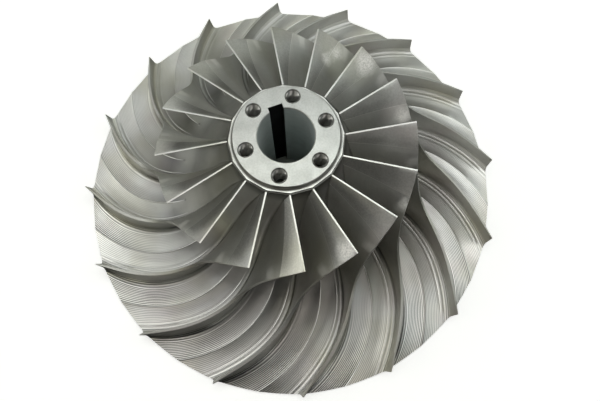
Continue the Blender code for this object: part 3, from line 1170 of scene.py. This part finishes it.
for item in floors:
    finish_faces(item, (floor_finish, edge_finish), floor_number)
for number, item in enumerate(blades):
    relief = lit_facet_finish if number in LIT_FACET_BLADES else facet_finish
    finish_faces(item, (blade_finish, relief, edge_finish), lambda face: blade_number(item, face))
for item in threads:
    finish_faces(item, (thread_finish,), lambda face: 0)
finish_faces(disc, (back_finish,), lambda face: 0)
finish_faces(nose, NOSE_FINISHES, nose_number)
taken = [face.material_index for face in nose.data.polygons]
print("nose faces by finish:", [taken.count(number) for number in range(len(NOSE_FINISHES))])

# %% [markdown]
# ## Join the wheel to the solid model
# Every piece rides on the one body of the solid model and together they stand for its one
# node, because the real wheel is one piece.

# %% Ride and replace
visible = [nose, disc, *floors, *blades, *threads]
for item in visible:
    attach(item, "root")
    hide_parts("impeller_wheel")
print("pieces:", len(visible), "triangles:", sum(triangles(item) for item in visible))

# %% [markdown]
# ## Camera
# The wheel was photographed from above and a little in front, close up with a wide lens,
# which is why the eye looks large against the disc. The camera stands where the outline,
# the bore and the blade tips all fall in the right place.

# %% Camera
PHOTO_WIDTH = 600
FOCAL_PIXELS = 449.5
AXIS_PIXEL = (288.4, 175.6)
PHOTO_MIDDLE = (300.0, 200.5)
FITTED_RADIUS = 0.1675
FITTED_RIGHT = (0.99939, 0.0284, -0.0207)
FITTED_UP = (-0.0208, 0.9531, 0.3018)
FITTED_PLACE = (0.0615, -0.6753, 2.1978)
SENSOR_WIDTH = 36.0
camera_data = bpy.data.cameras.new("camera")
camera = bpy.data.objects.new("camera", camera_data)
bpy.context.scene.collection.objects.link(camera)
right = Vector(FITTED_RIGHT)
backward = right.cross(Vector(FITTED_UP)).normalized()
up = backward.cross(right).normalized()
place = Vector(FITTED_PLACE) * FITTED_RADIUS + Vector((0, 0, RIM_THICKNESS))
turn = Matrix((right.normalized(), up, backward)).transposed().to_4x4()
camera.matrix_world = Matrix.Translation(place) @ turn
camera_data.sensor_width = SENSOR_WIDTH
camera_data.lens = SENSOR_WIDTH * FOCAL_PIXELS / PHOTO_WIDTH
camera_data.shift_x = (PHOTO_MIDDLE[0] - AXIS_PIXEL[0]) / PHOTO_WIDTH
camera_data.shift_y = -(PHOTO_MIDDLE[1] - AXIS_PIXEL[1]) / PHOTO_WIDTH
camera_data.clip_start = 0.01
bpy.context.scene.camera = camera
print("lens:", round(camera_data.lens, 1), "mm")

# %% [markdown]
# ## Floor and light
# Bare metal shows its surroundings more than its own colour, so a dome of 31 soft boxes
# lights it, with powers fitted until light and dark fell as in the photo. The photo is a
# cut-out on white, so the floor is white, but neither lights the wheel nor shows in it.
# Under the wheel the floor is painted dark and doesn't glow, a painted shadow that shows
# through the bore. Only the camera sees the pale room.

# %% Floor
GROUND_SIZE = 4.0
GROUND_DROP = 0.0002
GROUND_COLOUR = (0.86, 0.86, 0.86)
UNDER_WHEEL_SHADOW_COLOUR = (0.20, 0.21, 0.20)
UNDER_WHEEL_SHADOW = (0.92 * WHEEL_RADIUS, WHEEL_RADIUS)
GROUND_GLOW = 0.45
deselect_all()
bpy.ops.mesh.primitive_plane_add(size=GROUND_SIZE, location=(0, 0, 0))
ground = named("studio_floor")
ground.data.transform(Matrix.Translation((0, 0, -GROUND_DROP)))
ground_finish = Finish("studio_floor", GROUND_COLOUR, roughness=0.8, metallic=0.0)
from_wheel = ground_finish.vector("LENGTH", ground_finish.place(), output="Value")
# Under the wheel the floor is painted dark and doesn't glow: a painted shadow.
clear = ground_finish.ramp(from_wheel, *UNDER_WHEEL_SHADOW)
ground_finish.set("Base Color", ground_finish.mix(clear, UNDER_WHEEL_SHADOW_COLOUR, GROUND_COLOUR))
ground_finish.set("Emission Color", ground_finish.mix(clear, (0, 0, 0), (1, 1, 1)))
ground_finish.set("Emission Strength", GROUND_GLOW)
ground.data.materials.append(ground_finish.material)
ground.visible_diffuse = False
ground.visible_glossy = False
ground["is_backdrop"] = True

# %% Lights
LAMP_DISTANCE = 1.6
LAMP_SIZE = 0.60
LAMPS = (
    (72, 60, 3.15, (0.94, 1.0, 0.97)),
    (72, 120, 2.39, (0.96, 1.0, 0.97)),
    (8, 0, 1.91, (0.93, 1.0, 0.93)),
    (8, 103, 1.87, (0.98, 1.0, 0.92)),
    (8, 129, 1.78, (0.96, 1.0, 0.91)),
    (8, 77, 1.66, (0.96, 1.0, 0.90)),
    (8, 51, 1.64, (0.95, 1.0, 0.94)),
    (56, 20, 1.58, (0.97, 1.0, 0.97)),
    (72, 300, 1.51, (1.0, 0.99, 0.97)),
    (40, 0, 1.45, (1.0, 0.99, 0.97)),
    (24, 193, 1.41, (0.99, 1.0, 0.94)),
    (8, 154, 1.34, (0.98, 1.0, 0.91)),
    (72, 180, 1.30, (1.0, 0.95, 0.92)),
    (8, 309, 1.20, (1.0, 1.0, 0.95)),
    (40, 180, 1.13, (0.98, 1.0, 0.96)),
    (8, 26, 1.09, (0.92, 1.0, 0.94)),
    (8, 180, 0.97, (1.0, 1.0, 0.87)),
    (56, 340, 0.92, (0.98, 1.0, 0.98)),
    (40, 300, 0.88, (1.0, 0.95, 0.90)),
    (40, 210, 0.82, (1.0, 1.0, 0.97)),
    (24, 13, 0.78, (0.97, 1.0, 0.97)),
    (40, 240, 0.80, (1.0, 0.95, 0.87)),
    (40, 150, 0.71, (1.0, 1.0, 0.97)),
    (8, 231, 0.67, (1.0, 0.97, 0.81)),
    (40, 120, 0.63, (0.97, 1.0, 1.0)),
    (40, 330, 0.63, (0.93, 1.0, 0.97)),
    (56, 180, 0.61, (0.97, 1.0, 0.90)),
    (8, 206, 0.61, (1.0, 1.0, 0.76)),
    (24, 167, 0.48, (0.91, 0.91, 1.0)),
    (56, 220, 0.36, (1.0, 0.94, 1.0)),
    (88, 180, 0.36, (0.94, 1.0, 0.06)),
)


def soft_lamp(name, rise, turn, power, tint):
    """A round soft box, rise degrees above the floor and turn degrees round from +X."""
    rise, turn = math.radians(rise), math.radians(turn)
    way = Vector((math.cos(rise) * math.cos(turn), math.cos(rise) * math.sin(turn), math.sin(rise)))
    light = bpy.data.lights.new(name, "AREA")
    light.shape = "DISK"
    light.size = LAMP_SIZE
    light.energy = power
    light.color = tint
    item = bpy.data.objects.new(name, light)
    item.location = way * LAMP_DISTANCE
    item.rotation_euler = (-way).to_track_quat("-Z", "Y").to_euler()
    bpy.context.scene.collection.objects.link(item)
    return item


for number, lamp in enumerate(LAMPS):
    soft_lamp(f"soft_lamp_{number + 1:02d}", *lamp)
room = bpy.data.worlds.new("room")
room.use_nodes = True
room.node_tree.nodes["Background"].inputs["Color"].default_value = (1, 1, 1, 1)
bpy.context.scene.world = room
room.cycles_visibility.diffuse = False
room.cycles_visibility.glossy = False
bpy.context.scene.view_settings.view_transform = "Standard"
print("lamps:", len(LAMPS))

# %% The size of what is shown
shown_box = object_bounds()
say_box("shown", shown_box)
